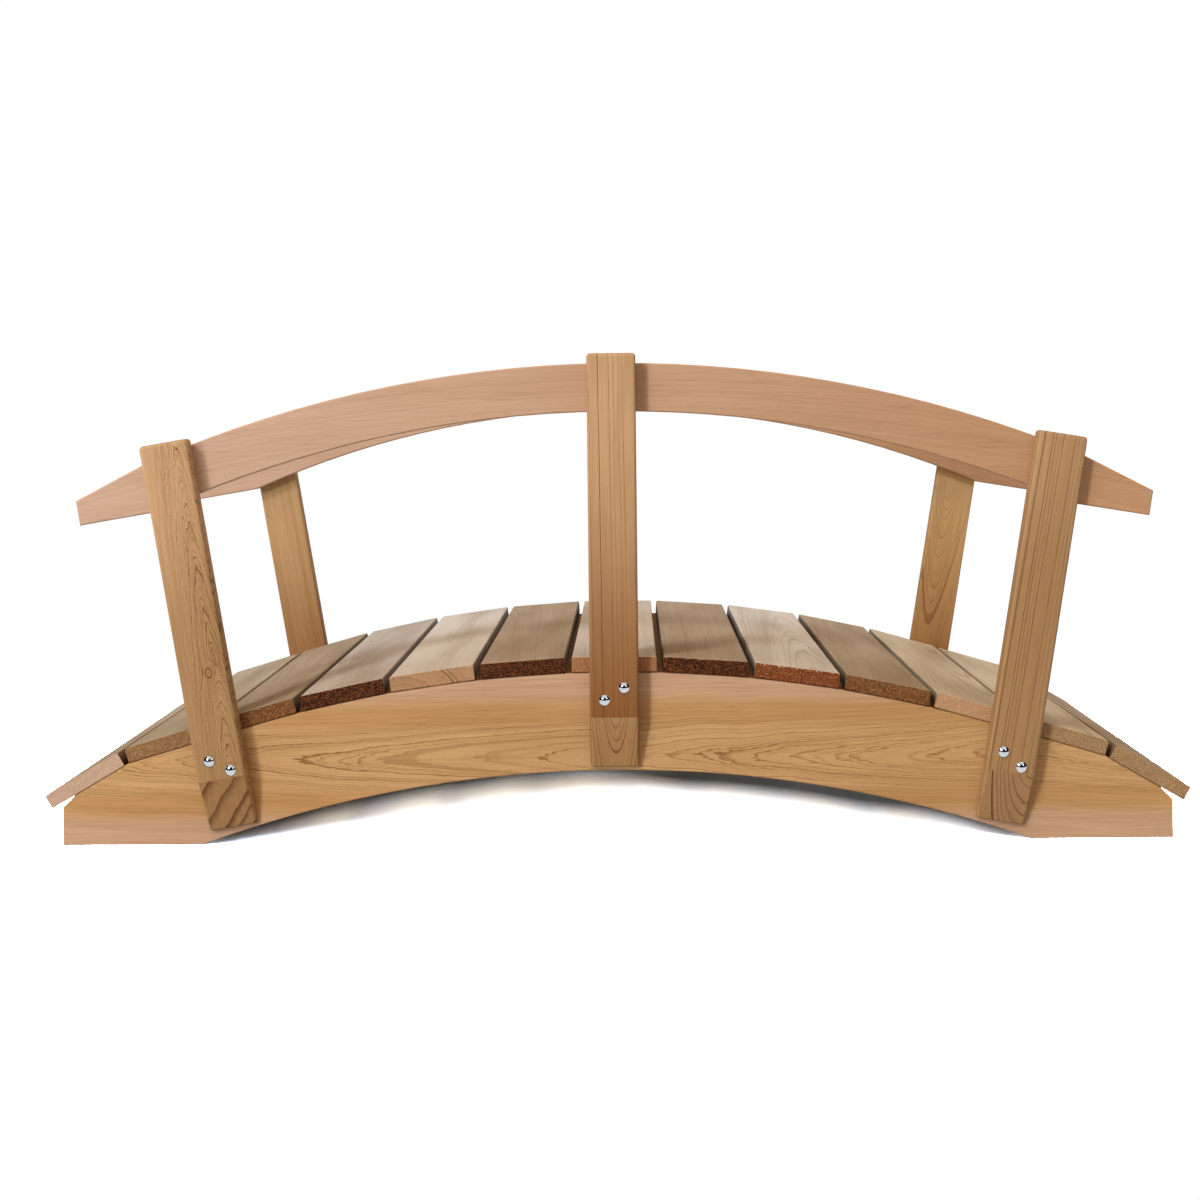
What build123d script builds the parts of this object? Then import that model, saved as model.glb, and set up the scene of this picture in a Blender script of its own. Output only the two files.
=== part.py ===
from build123d import *
from math import atan, atan2, cos, degrees, floor, radians, sin, sqrt, tan
import os

# Moon bridge: a small arched garden footbridge of cedar, with a railing on each side.
# Millimetres. +X runs along the bridge, +Y across it and +Z up.
# The origin is on the ground, under the middle of the bridge. The near side is at -Y.

# Stringers: the two arched boards that carry the deck
STRINGER_LENGTH = 1829.0        # tip to tip
STRINGER_THICK = 38.0
CROWN_HEIGHT = 279.0            # ground to the top edge at mid span
ARCH_DEPTH = 161.0              # top edge to underside at mid span
SEAT_HEIGHT = 135.5             # ground to the corner where ramp meets seat
SEAT_RUN = 111.0                # level run of the steep seat under each end plank
RAMP_SHARE = 0.81               # 1 is one arc from crown to seat, less leaves a straight ramp
TIP_HEIGHT = 63.0               # upright cut at each tip
NICK_RUN = 20.0                 # corner cut off between seat and tip
NICK_DROP = 8.0
STRINGER_EDGE = 1.5             # chamfer along the edges of the sawn board

# Deck planks
PLANK_LENGTH = 711.0            # the width of the deck, flush with both stringers
PLANK_WIDTH = 140.0
PLANK_THICK = 25.0
PLANK_EDGE_R = 3.0              # eased long edges
PLANK_LEAST_GAP = 9.0           # between planks on the arch, at the least
END_PLANK_GAP = 8.5             # between an end plank and its neighbour, along the seat

# Posts, bolted to the outer faces of the stringers
POST_WIDTH = 80.0
POST_THICK = 25.0
POST_CORNER_R = 6.0             # corners of the board's outline
POST_RIM_R = 5.0                # rounded rim of the outer face
POST_BACK = 2.0                 # chamfered rim of the inner face
POST_BEVEL = 85.0               # height of the bevelled foot on the outer face
POST_FOOT_THICK = 7.5           # what the bevel leaves at the lower end
END_POST_LENGTH = 643.5
END_POST_LEAN = 9.5             # degrees, outwards
END_POST_TAIL = 107.0           # lower end to the middle of the bolt pair
END_POST_INSET = 267.5          # stringer's tip to the middle of the bolt pair
END_BOLT_DROP = 46.0            # middle of the bolt pair, below the stringer's top edge
MID_POST_LENGTH = 679.5
MID_POST_TAIL = 123.0
MID_BOLT_DROP = 31.5

# Rails, on the inner faces of the posts
RAIL_THICK = 25.0
RAIL_DEPTH = 80.0
RAIL_MID_DROP = 15.5            # top edge below the middle post's top
RAIL_END_DROP = 18.5            # and below an end post's top, on the post's axis
RAIL_TAIL = 126.0               # tapered end past the end post, along its lower edge
RAIL_TIP_DEPTH = 41.0           # square cut at the tip
RAIL_EDGE = 2.0                 # chamfer along the long edges

# Holes for the carriage bolts, two to a post, set on a diagonal
BOLT_D = 8.0
BOLT_CLEARANCE = 0.25           # on the radius
BOLT_ACROSS = 32.0              # distance between the two, across the post
BOLT_ALONG = 20.0               # and along it

# Cutting tools reach this far past a face
OVERRUN = 2.0

# Worked out from the sizes above
HALF_LENGTH = STRINGER_LENGTH / 2
SIDE_Y = PLANK_LENGTH / 2
SEAT_X = HALF_LENGTH - SEAT_RUN
SEAT_ANGLE = atan2(SEAT_HEIGHT - TIP_HEIGHT - NICK_DROP, SEAT_RUN)
LEAN = radians(END_POST_LEAN)

# The top edge of a stringer: an arc over the middle, tangent to a straight ramp down to each seat
TOP_DROP = CROWN_HEIGHT - SEAT_HEIGHT
RAMP_ANGLE = 2 * atan(RAMP_SHARE * TOP_DROP / SEAT_X)
TOP_RADIUS = (SEAT_X * sin(RAMP_ANGLE) - TOP_DROP * cos(RAMP_ANGLE)) / (1 - cos(RAMP_ANGLE))
ARC_CENTRE_Z = CROWN_HEIGHT - TOP_RADIUS
ARC_HALF_SPAN = TOP_RADIUS * sin(RAMP_ANGLE)
ARC_HALF_LENGTH = TOP_RADIUS * RAMP_ANGLE
TOP_HALF_LENGTH = ARC_HALF_LENGTH + (SEAT_X - ARC_HALF_SPAN) / cos(RAMP_ANGLE)


def top_edge(distance):
    """Point and slope angle of the stringer's top edge, by distance along it from mid span."""
    along = min(abs(distance), ARC_HALF_LENGTH)
    past = abs(distance) - along
    angle = along / TOP_RADIUS
    x = TOP_RADIUS * sin(angle) + past * cos(angle)
    z = ARC_CENTRE_Z + TOP_RADIUS * cos(angle) - past * sin(angle)
    side = 1 if distance >= 0 else -1
    return side * x, z, side * angle


def top_height(x):
    """Height of the stringer's arch or ramp at a station along the bridge."""
    inside = min(abs(x), ARC_HALF_SPAN)
    past = abs(x) - inside
    return ARC_CENTRE_Z + sqrt(TOP_RADIUS ** 2 - inside ** 2) - past * tan(RAMP_ANGLE)


# The bolt pairs, which place the posts
END_BOLT_X = HALF_LENGTH - END_POST_INSET
END_BOLT_Z = top_height(END_BOLT_X) - END_BOLT_DROP
MID_BOLT_Z = CROWN_HEIGHT - MID_BOLT_DROP

# The top edge of a rail: an arc through a point on the middle post and one on each end post
RAIL_CROWN = MID_BOLT_Z - MID_POST_TAIL + MID_POST_LENGTH - RAIL_MID_DROP
RAIL_REACH = END_POST_LENGTH - END_POST_TAIL - RAIL_END_DROP
RAIL_END_X = END_BOLT_X + RAIL_REACH * sin(LEAN)
RAIL_RISE = RAIL_CROWN - END_BOLT_Z - RAIL_REACH * cos(LEAN)
RAIL_RADIUS = (RAIL_END_X ** 2 + RAIL_RISE ** 2) / (2 * RAIL_RISE)

# The three posts of a side: station, height of the bolt pair, lean, length, tail and bolt diagonal
POSTS = {
    "left": (-END_BOLT_X, END_BOLT_Z, -END_POST_LEAN, END_POST_LENGTH, END_POST_TAIL, 1),
    "middle": (0, MID_BOLT_Z, 0, MID_POST_LENGTH, MID_POST_TAIL, -1),
    "right": (END_BOLT_X, END_BOLT_Z, END_POST_LEAN, END_POST_LENGTH, END_POST_TAIL, 1),
}


def mirrored(points):
    """The same points on the left half of an outline."""
    return [(-x, z) for x, z in points]


def arched_plate(crown, right_points, low_crown, thick):
    """Plate between two arcs over the middle, each half closed by the same straight cuts."""
    left_points = mirrored(right_points)
    outline = ThreePointArc(left_points[0], (0, crown), right_points[0])
    outline += Polyline(*right_points)
    outline += ThreePointArc(right_points[-1], (0, low_crown), left_points[-1])
    outline += Polyline(*left_points)
    return extrude(Plane.XZ * make_face(outline), amount=thick)


def eased(plate, size):
    """The plate with the edges of its two broad faces chamfered."""
    faces = plate.faces().sort_by(Axis.Y)
    return chamfer(faces[0].edges() + faces[-1].edges(), size)


def drilled(solid, posts):
    """The solid with the bolt holes of these near posts through it."""
    depth = POST_THICK + STRINGER_THICK + 2 * OVERRUN
    hole = Rot(X=90) * Cylinder(BOLT_D / 2 + BOLT_CLEARANCE, depth)
    middle_y = (STRINGER_THICK - POST_THICK) / 2 - SIDE_Y
    for name in posts:
        x, z, lean, length, tail, diagonal = POSTS[name]
        for side in [-1, 1]:
            across = side * BOLT_ACROSS / 2
            along = -side * diagonal * BOLT_ALONG / 2
            solid -= Pos(x, middle_y, z) * Rot(Y=lean) * Pos(across, 0, along) * hole
    return solid


def stringer():
    """Near stringer: arch, straight ramps, steep seats for the end planks and flat feet."""
    nick_z = SEAT_HEIGHT - (SEAT_RUN - NICK_RUN) * tan(SEAT_ANGLE)
    under_radius = TOP_RADIUS - ARCH_DEPTH
    foot_x = sqrt(under_radius ** 2 - ARC_CENTRE_Z ** 2)
    right_points = [
        (ARC_HALF_SPAN, top_height(ARC_HALF_SPAN)),
        (SEAT_X, SEAT_HEIGHT),
        (HALF_LENGTH - NICK_RUN, nick_z),
        (HALF_LENGTH, TIP_HEIGHT),
        (HALF_LENGTH, 0),
        (foot_x, 0),
    ]
    board = arched_plate(CROWN_HEIGHT, right_points, CROWN_HEIGHT - ARCH_DEPTH, STRINGER_THICK)
    board = eased(board, STRINGER_EDGE)
    return drilled(Pos(Y=STRINGER_THICK - SIDE_Y) * board, POSTS)


def post(name):
    """Near post: a board with a rounded rim and a bevelled foot, drilled for its two bolts."""
    x, z, lean, length, tail, diagonal = POSTS[name]
    outline = Pos(Y=length / 2) * RectangleRounded(POST_WIDTH, length, POST_CORNER_R)
    board = extrude(Plane.XZ * outline, amount=POST_THICK)
    waste = Polyline((-POST_THICK, POST_BEVEL), (-POST_THICK, 0), (-POST_FOOT_THICK, 0), close=True)
    board -= extrude(Plane.YZ * make_face(waste), amount=POST_WIDTH, both=True)
    outer, bevel = board.faces().sort_by(Axis.Y)[:2]
    crease = outer.edges() & bevel.edges()
    board = fillet(outer.edges() + bevel.edges() - crease, POST_RIM_R)
    board = chamfer(board.faces().sort_by(Axis.Y)[-1].edges(), POST_BACK)
    board = Pos(x, -SIDE_Y, z) * Rot(Y=lean) * Pos(Z=-tail) * board
    return drilled(board, [name])


def outer_edge_on_arc(radius, crown):
    """Where the right end post's outer edge crosses an arc with its top at the crown."""
    edge_x = END_BOLT_X + POST_WIDTH / 2 * cos(LEAN)
    edge_z = END_BOLT_Z - POST_WIDTH / 2 * sin(LEAN) - (crown - radius)
    toward = edge_x * sin(LEAN) + edge_z * cos(LEAN)
    reach = sqrt(toward ** 2 - edge_x ** 2 - edge_z ** 2 + radius ** 2) - toward
    return edge_x + reach * sin(LEAN), edge_z + crown - radius + reach * cos(LEAN)


def rail():
    """Near rail: an arch between the end posts' outer edges, with a tapered tail past each."""
    low_crown = RAIL_CROWN - RAIL_DEPTH
    top_x, top_z = outer_edge_on_arc(RAIL_RADIUS, RAIL_CROWN)
    low_x, low_z = outer_edge_on_arc(RAIL_RADIUS - RAIL_DEPTH, low_crown)
    tip_x = low_x + RAIL_TAIL * cos(LEAN)
    tip_z = low_z - RAIL_TAIL * sin(LEAN)
    right_points = [
        (top_x, top_z),
        (tip_x + RAIL_TIP_DEPTH * sin(LEAN), tip_z + RAIL_TIP_DEPTH * cos(LEAN)),
        (tip_x, tip_z),
        (low_x, low_z),
    ]
    board = arched_plate(RAIL_CROWN, right_points, low_crown, RAIL_THICK)
    return Pos(Y=RAIL_THICK - SIDE_Y) * eased(board, RAIL_EDGE)


def plank():
    """Deck plank, centred on X and Y, with its underside at Z = 0."""
    board = Pos(Z=PLANK_THICK / 2) * Box(PLANK_WIDTH, PLANK_LENGTH, PLANK_THICK)
    return fillet(board.edges().filter_by(Axis.Y), PLANK_EDGE_R)


def plank_places():
    """Every plank's place from left to right: an even row on the arch and one on each end seat."""
    count = floor((2 * TOP_HALF_LENGTH + PLANK_LEAST_GAP) / (PLANK_WIDTH + PLANK_LEAST_GAP))
    pitch = (2 * TOP_HALF_LENGTH - PLANK_WIDTH) / (count - 1)
    row = [top_edge((k - (count - 1) / 2) * pitch) for k in range(count)]
    out = END_PLANK_GAP + PLANK_WIDTH / 2
    end_x = SEAT_X + out * cos(SEAT_ANGLE)
    end_z = SEAT_HEIGHT - out * sin(SEAT_ANGLE)
    places = [(-end_x, end_z, -SEAT_ANGLE)] + row + [(end_x, end_z, SEAT_ANGLE)]
    return [Pos(x, 0, z) * Rot(Y=degrees(angle)) for x, z, angle in places]


def near_side():
    """Every piece of the near side by name."""
    pieces = {"stringer": stringer(), "rail": rail()}
    for name in POSTS:
        pieces[name + "_post"] = post(name)
    return pieces


def bridge():
    """Every piece of the bridge by node name."""
    nodes = {}
    for number, place in enumerate(plank_places(), start=1):
        nodes["plank_%02d" % number] = place * plank()
    for name, piece in near_side().items():
        nodes["near_" + name] = piece
        nodes["far_" + name] = mirror(piece, about=Plane.XZ)
    return nodes


os.makedirs("parts", exist_ok=True)
for node, piece in bridge().items():
    export_step(piece, "parts/%s.step" % node)
    print(node, round(piece.volume))
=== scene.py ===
# %% [markdown]
# # A small cedar moon bridge
# The bridge is all boards: two arched stringers, thirteen deck planks, six posts and two arched rails, held
# by zinc-plated carriage bolts. The boards come from the frame with their true shapes, so this lesson gives
# them what makes cedar look like cedar: growth rings that run through the whole board, fibres, sawn ends and
# soft arrises. The bolts, which repeat, are made with Geometry Nodes.

# %% Load the frame
import math
import random

import bpy
from mathutils import Matrix, Vector


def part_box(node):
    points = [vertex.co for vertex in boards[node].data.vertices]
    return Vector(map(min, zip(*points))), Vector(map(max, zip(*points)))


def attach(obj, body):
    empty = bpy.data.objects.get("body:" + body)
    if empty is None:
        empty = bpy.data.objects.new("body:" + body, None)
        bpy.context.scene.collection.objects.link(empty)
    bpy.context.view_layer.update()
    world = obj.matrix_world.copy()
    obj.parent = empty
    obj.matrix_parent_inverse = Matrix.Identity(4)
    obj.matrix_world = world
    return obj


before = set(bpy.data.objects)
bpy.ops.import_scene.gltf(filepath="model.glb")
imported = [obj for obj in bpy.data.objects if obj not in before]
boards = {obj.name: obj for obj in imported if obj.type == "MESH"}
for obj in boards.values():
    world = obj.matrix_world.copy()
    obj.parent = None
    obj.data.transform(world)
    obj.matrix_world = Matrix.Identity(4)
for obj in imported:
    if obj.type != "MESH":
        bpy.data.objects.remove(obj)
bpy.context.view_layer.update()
scene = bpy.context.scene
scene.view_settings.view_transform = "Standard"
MM = 0.001
print("boards in the frame:", len(boards))

# %% [markdown]
# ## Helpers for node trees
# Shader and geometry trees are long lists of nodes and links. Three helpers keep them readable: one feeds an
# input, either with a plain value or with the output socket of an earlier node, one adds a node and feeds its
# inputs, and one starts a node group with named sockets.


# %% Nodes and links
def feed(socket, value):
    """Link an output to the socket, or set the socket to a plain value."""
    if isinstance(value, bpy.types.NodeSocket):
        socket.id_data.links.new(value, socket)
    else:
        socket.default_value = value


def add(tree, kind, inputs=None, **settings):
    """Add a node with its settings, then feed its inputs by name or number."""
    made = tree.nodes.new(kind)
    for key, value in settings.items():
        setattr(made, key, value)
    for key, value in (inputs or {}).items():
        feed(made.inputs[key], value)
    return made


def group_tree(name, kind, inputs, outputs):
    """A node group with named sockets; returns the tree and its input and output nodes."""
    tree = bpy.data.node_groups.new(name, kind)
    for direction, sockets in (("INPUT", inputs), ("OUTPUT", outputs)):
        for label, socket_kind in sockets.items():
            tree.interface.new_socket(name=label, in_out=direction, socket_type="NodeSocket" + socket_kind)
    return tree, tree.nodes.new("NodeGroupInput"), tree.nodes.new("NodeGroupOutput")


print("node groups so far:", len(bpy.data.node_groups))

# %% [markdown]
# The sums that come back in every tree get a helper too: one Math node, a distance from two lengths, a vector
# stretched along its axes, noise, smooth steps up, down and both, and a blend of two colours. A socket knows
# the tree that it belongs to, so these helpers find their tree by what they are given.


# %% Sums and blends
def tree_of(values):
    """The tree that holds the first socket among the values."""
    return next(value.id_data for value in values if isinstance(value, bpy.types.NodeSocket))


def result(kind, inputs, **settings):
    """Add a node to the tree that feeds it; returns its first output."""
    return add(tree_of(inputs.values()), kind, inputs, **settings).outputs[0]


def sums(operation, *values):
    """One Math node; returns its output."""
    return result("ShaderNodeMath", dict(enumerate(values)), operation=operation)


def product(first, second):
    """Two values multiplied."""
    return sums("MULTIPLY", first, second)


def total(first, second):
    """Two values added."""
    return sums("ADD", first, second)


def less(first, second):
    """The first value, less the second."""
    return sums("SUBTRACT", first, second)


def apart(x, y):
    """How far a point with these two coordinates lies from zero."""
    return sums("SQRT", total(product(x, x), product(y, y)))


def stretched(vector, factors):
    """A vector with each of its parts multiplied by a factor."""
    return result("ShaderNodeVectorMath", {0: vector, 1: factors}, operation="MULTIPLY")


def noise(dimensions, sockets):
    """Noise at a scale of one, unless the sockets say otherwise."""
    return result("ShaderNodeTexNoise", {"Scale": 1.0} | sockets, noise_dimensions=dimensions)


def ramp(value, low, high, to_low=0.0, to_high=1.0):
    """A smooth step from to_low to to_high as value goes from low to high."""
    sockets = {"Value": value, "From Min": low, "From Max": high, "To Min": to_low, "To Max": to_high}
    return result("ShaderNodeMapRange", sockets, interpolation_type="SMOOTHSTEP")


def fade(value, low, high):
    """A smooth step down from one to zero."""
    return ramp(value, low, high, 1.0, 0.0)


def between(value, rise, fall):
    """One inside a stretch with soft ends, zero outside it."""
    return product(ramp(value, *rise), fade(value, *fall))


MIX_FACTOR, MIX_UNDER, MIX_OVER, MIX_COLOUR = 0, 6, 7, 2


def tint(factor, under, over, blend="MIX"):
    """A Mix node for colours; returns the blended colour."""
    inputs = {MIX_FACTOR: factor, MIX_UNDER: under, MIX_OVER: over}
    made = add(tree_of(inputs.values()), "ShaderNodeMix", inputs, data_type="RGBA", blend_type=blend)
    return made.outputs[MIX_COLOUR]


print("a Mix node for colours uses its inputs", MIX_FACTOR, MIX_UNDER, "and", MIX_OVER)

# %% [markdown]
# ## Growth rings
# A board is a slice of a log, so its figure is the log's rings cut by its faces. The rings are cones around
# the pith: where a face runs nearly along a ring it shows flames and arches, where it cuts across the rings
# it shows straight lines, and the sawn end shows arcs. Painting each face by itself would never agree at the
# corners, so the rings are one solid pattern, read in the board's own place: X along the grain, Y across it,
# Z through it. A knot, where a branch grew, pushes the rings aside, the more the nearer they are.

# %% Ring group: place and knot
RING_VALUES = ("Pith Y", "Pith Z", "Ring", "Taper", "Bow", "Wander", "Waver", "Jag", "Late From", "Even",
               "Knot X", "Knot Y", "Knot Size", "Seed")
rings, inside, ring_masks = group_tree("cedar_rings", "ShaderNodeTree",
                                       {"Place": "Vector"} | dict.fromkeys(RING_VALUES, "Float"),
                                       dict.fromkeys(("Late", "Tone", "Radius", "Knot"), "Float"))
given = inside.outputs
along, across, deep = add(rings, "ShaderNodeSeparateXYZ", {0: given["Place"]}).outputs
level = total(across, product(product(along, along), given["Bow"]))

KNOT_WIDTH_SHARE, KNOT_FADE, KNOT_PUSH_SHARE, TINY = 0.62, -0.55, 2.2, 1e-6
KNOT_RIM, KNOT_EYE, EYE_SHADE = ((0.45, 0.75), (0.8, 1.15)), (0.1, 0.3), 0.8
knot_x = product(less(along, given["Knot X"]), KNOT_WIDTH_SHARE)
knot_y = less(level, given["Knot Y"])
knot_size = sums("MAXIMUM", given["Knot Size"], TINY)
knot_near = sums("DIVIDE", apart(knot_x, knot_y), knot_size)
knot_fading = sums("EXPONENT", product(knot_near, KNOT_FADE))
knot_push = product(knot_fading, product(given["Knot Size"], KNOT_PUSH_SHARE))
knot_rim = between(knot_near, *KNOT_RIM)
knot_eye = ramp(knot_near, *KNOT_EYE, EYE_SHADE, 0.0)
feed(ring_masks.inputs["Knot"], sums("MAXIMUM", knot_rim, knot_eye))
print("ring group with its knot:", len(rings.nodes), "nodes")

# %% [markdown]
# Rings are counted by their distance from the pith. The pith strolls a little along the log, and the log
# narrows towards its top. Noise of three lengths makes the rings waver: slow swells, quick ones, a fine jag.

# %% Ring group: distance from the pith
STROLL_PACE, NOISE_MIDDLE = 3.5, 0.5
SLOW_SWELL, QUICK_SWELL, FINE_JAG = (2.2, 11.0, 11.0), (10.0, 60.0, 60.0), (55.0, 280.0, 280.0)
SLOW_SHARE, QUICK_SHARE, WAVE_DETAIL = 2.0, 0.55, 2.0
stroll_at = total(product(along, STROLL_PACE), given["Seed"])
stroll = less(noise("1D", {"W": stroll_at}), NOISE_MIDDLE)
strolled = total(level, product(stroll, given["Wander"]))
reach = apart(less(strolled, given["Pith Y"]), less(deep, given["Pith Z"]))
radius = total(total(reach, knot_push), product(along, given["Taper"]))
for swell, share in ((SLOW_SWELL, SLOW_SHARE), (QUICK_SWELL, QUICK_SHARE), (FINE_JAG, given["Jag"])):
    spot = stretched(given["Place"], swell)
    wave = noise("4D", {"Vector": spot, "W": given["Seed"], "Detail": WAVE_DETAIL})
    swing = product(less(wave, NOISE_MIDDLE), product(given["Waver"], share))
    radius = total(radius, swing)
feed(ring_masks.inputs["Radius"], reach)
print("ring group with its distances:", len(rings.nodes), "nodes")

# %% [markdown]
# Within a ring, pale early wood darkens slowly into late wood, which stops short at the winter line. Good and
# bad years make wide and narrow rings, and each year has a tone of its own.

# %% Ring group: seasons
YEAR_PACE, YEAR_DRIFT, YEAR_DETAIL = 0.42, 1.8, 1.0
LATE_FULL, LATE_POWER, WINTER, TONE_REACH = 0.94, 1.8, (0.95, 1.0), (0.1, 1.0)
count = sums("DIVIDE", radius, given["Ring"])
years_at = total(product(count, YEAR_PACE), given["Seed"])
years = noise("1D", {"W": years_at, "Detail": YEAR_DETAIL})
count = total(count, product(years, YEAR_DRIFT))
season = sums("FRACT", count)
tone_at = total(sums("FLOOR", count), given["Seed"])
tone = result("ShaderNodeTexWhiteNoise", {"W": tone_at}, noise_dimensions="1D")
late = sums("POWER", ramp(season, given["Late From"], LATE_FULL), LATE_POWER)
late = product(late, fade(season, *WINTER))
late = product(late, ramp(tone, *TONE_REACH, given["Even"], 1.0))
feed(ring_masks.inputs["Late"], late)
feed(ring_masks.inputs["Tone"], tone)
print("whole ring group:", len(rings.nodes), "nodes")

# %% [markdown]
# ## Fibres
# Between the rings cedar is a bundle of fibres. On a face they show as streaks a few tenths of a millimetre
# wide and some centimetres long, with short dark dashes where the plane has opened a pore. Across a sawn end
# the same fibres show as speckle. Noise stretched along the grain gives both, because it is read in the
# board's own place. Each look has its stretch, its detail and the part of the noise that shows.

# %% The fibre group
FIBRE_LOOKS = {
    "Streak": ((7.0, 330.0, 330.0), 3.0, (0.34, 0.74)),
    "Dash": ((26.0, 700.0, 700.0), 1.0, (0.60, 0.74)),
    "Fleck": ((13.0, 360.0, 360.0), 1.0, (0.64, 0.74)),
    "Cloud": ((3.2, 16.0, 16.0), 2.0, (0.36, 0.72)),
    "Speckle": ((620.0, 620.0, 620.0), 2.0, (0.33, 0.58)),
    "Tear": ((0.0, 240.0, 0.0), 3.0, (0.45, 0.72)),
}
fibres, inside, fibre_masks = group_tree("cedar_fibres", "ShaderNodeTree",
                                         {"Place": "Vector", "Seed": "Float"},
                                         dict.fromkeys(FIBRE_LOOKS, "Float"))
for label, (stretch, detail, shown) in FIBRE_LOOKS.items():
    spot = stretched(inside.outputs["Place"], stretch)
    grainy = noise("4D", {"Vector": spot, "W": inside.outputs["Seed"], "Detail": detail})
    feed(fibre_masks.inputs[label], ramp(grainy, *shown))
print("fibre group:", len(fibres.nodes), "nodes")

# %% [markdown]
# ## Ends, bevels and edges
# A sawn end, the bevel at a post's foot and a board's long edge all look different from its faces. Which of
# them a spot lies on follows from the way the surface looks: along the grain it is an end, a little against
# it a bevel, and across the board's width an edge. So nothing has to be painted by hand.

# %% The end group
END_SLOPE, BEVEL_SLOPE, EDGE_SLOPE = (0.72, 0.94), (-0.19, -0.10), (0.60, 0.90)
ends, inside, end_masks = group_tree("cedar_ends", "ShaderNodeTree", {"Grain": "Vector", "Width": "Vector"},
                                     dict.fromkeys(("End", "Bevel", "Edge"), "Float"))
facing = add(ends, "ShaderNodeNewGeometry").outputs["True Normal"]
slopes = {}
for label in ("Grain", "Width"):
    slope = add(ends, "ShaderNodeVectorMath", {0: facing, 1: inside.outputs[label]}, operation="DOT_PRODUCT")
    slopes[label] = slope.outputs["Value"]
feed(end_masks.inputs["End"], ramp(sums("ABSOLUTE", slopes["Grain"]), *END_SLOPE))
feed(end_masks.inputs["Bevel"], fade(slopes["Grain"], *BEVEL_SLOPE))
feed(end_masks.inputs["Edge"], ramp(sums("ABSOLUTE", slopes["Width"]), *EDGE_SLOPE))
print("end group:", len(ends.nodes), "nodes")

# %% [markdown]
# ## One cedar, many boards
# All boards take the same material recipe with their own values: how the board lay in its log, how wide the
# rings are, and its tone. Cedar runs from pale straw through rose and honey to dark umber, often in one pack.
# A sawn end has a tone of its own, a darker one for its pores, and a share that says how far the pores show.

# %% Tones
TONES = {
    "rose": (0.452, 0.251, 0.131), "honey": (0.525, 0.306, 0.131), "tan": (0.515, 0.312, 0.158),
    "amber": (0.430, 0.250, 0.117), "corn": (0.515, 0.318, 0.150), "straw": (0.600, 0.370, 0.162),
    "silver": (0.580, 0.539, 0.491), "ash": (0.469, 0.424, 0.390), "sand": (0.406, 0.351, 0.266),
    "wheat": (0.601, 0.534, 0.422), "drift": (0.395, 0.320, 0.239), "bark": (0.344, 0.278, 0.208),
    "pearl": (0.638, 0.609, 0.570),
}
SAWN_TONES = {
    "pale": ((0.54, 0.37, 0.26), (0.32, 0.19, 0.11), 0.5),
    "gold": ((0.46, 0.26, 0.13), (0.20, 0.095, 0.04), 0.5),
    "toast": ((0.41, 0.19, 0.082), (0.17, 0.07, 0.026), 0.6),
    "cream": ((0.52, 0.30, 0.155), (0.25, 0.125, 0.057), 0.5),
    "tan": ((0.37, 0.20, 0.087), (0.125, 0.052, 0.018), 0.7),
    "olive": ((0.43, 0.265, 0.13), (0.19, 0.10, 0.042), 0.7),
    "brown": ((0.32, 0.134, 0.046), (0.072, 0.025, 0.0076), 0.9),
    "russet": ((0.35, 0.109, 0.033), (0.075, 0.0195, 0.0056), 0.9),
    "umber": ((0.20, 0.058, 0.0155), (0.0095, 0.0024, 0.0008), 1.0),
}
print("tones of faces:", len(TONES), "and of sawn ends:", len(SAWN_TONES))

# %% [markdown]
# The plain look is a board with nothing special: a board names only what differs from it. Lengths in a look
# are in millimetres. Calm says from which ring radius to which the figure fades, and what share of it stays;
# heart and band are the ring radii where the wood turns to another tint. Tints multiply the board's colour.

# %% The plain look
PLAIN = (1.0, 1.0, 1.0)
LATE_TINT, STAIN = (0.42, 0.29, 0.19), (0.62, 0.52, 0.42)
PLAIN_LOOK = dict(
    ring=3.2, taper=0.03, bow=0.0, wander=0.0, waver=4.0, jag=0.4, late_from=0.45, even=0.1,
    knot=(0.0, 0.0, 0.0), contrast=0.75, late_tint=LATE_TINT, calm=(500.0, 600.0, 1.0),
    heart=(500.0, 600.0), heart_tint=PLAIN, band=None, band_tint=PLAIN, foot=(-310.0, 230.0), foot_tint=PLAIN,
    bevel_shading=PLAIN, bevel_log=None, edge_shade=None, edge_shade_top=1.0, cloud=0.25, stain=STAIN, streak=0.30,
    dash=0.25, fleck=0.0, end="tan", fray=0.0, seed=1.0, rough=0.6, gloss=0.3)


def metres(*lengths):
    """Lengths of a look in metres."""
    return tuple(length * MM for length in lengths)


def log_values(place, look):
    """What the ring group needs to know of the board's log."""
    pith_y, pith_z, ring, wander, waver = metres(*look["pith"], look["ring"], look["wander"], look["waver"])
    knot_along, knot_across, knot_width = metres(*look["knot"])
    return {"Place": place, "Pith Y": pith_y, "Pith Z": pith_z, "Ring": ring, "Taper": look["taper"],
            "Bow": look["bow"], "Wander": wander, "Waver": waver, "Jag": look["jag"],
            "Late From": look["late_from"], "Even": look["even"], "Knot X": knot_along,
            "Knot Y": knot_across, "Knot Size": knot_width, "Seed": look["seed"]}


print("a look has", len(PLAIN_LOOK), "values")

# %% [markdown]
# A board's colour is laid up in thin coats, as stain is: each coat multiplies the colour below it, as far as
# a mask lets it. That keeps the figure clear under every tint. Most coats are the wood's own tints, but some
# are painted shade, as said where they are laid.


# %% Coats
def times(colour, other=PLAIN):
    """Two colours multiplied, with full alpha for a colour socket."""
    return tuple(a * b for a, b in zip(colour, other)) + (1.0,)


def stained_or_shaded(factor, colour, stain):
    """The colour, multiplied by a wood stain or a painted shade as far as the factor says."""
    return tint(factor, colour, tint(1.0, colour, times(stain), "MULTIPLY"))


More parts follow.
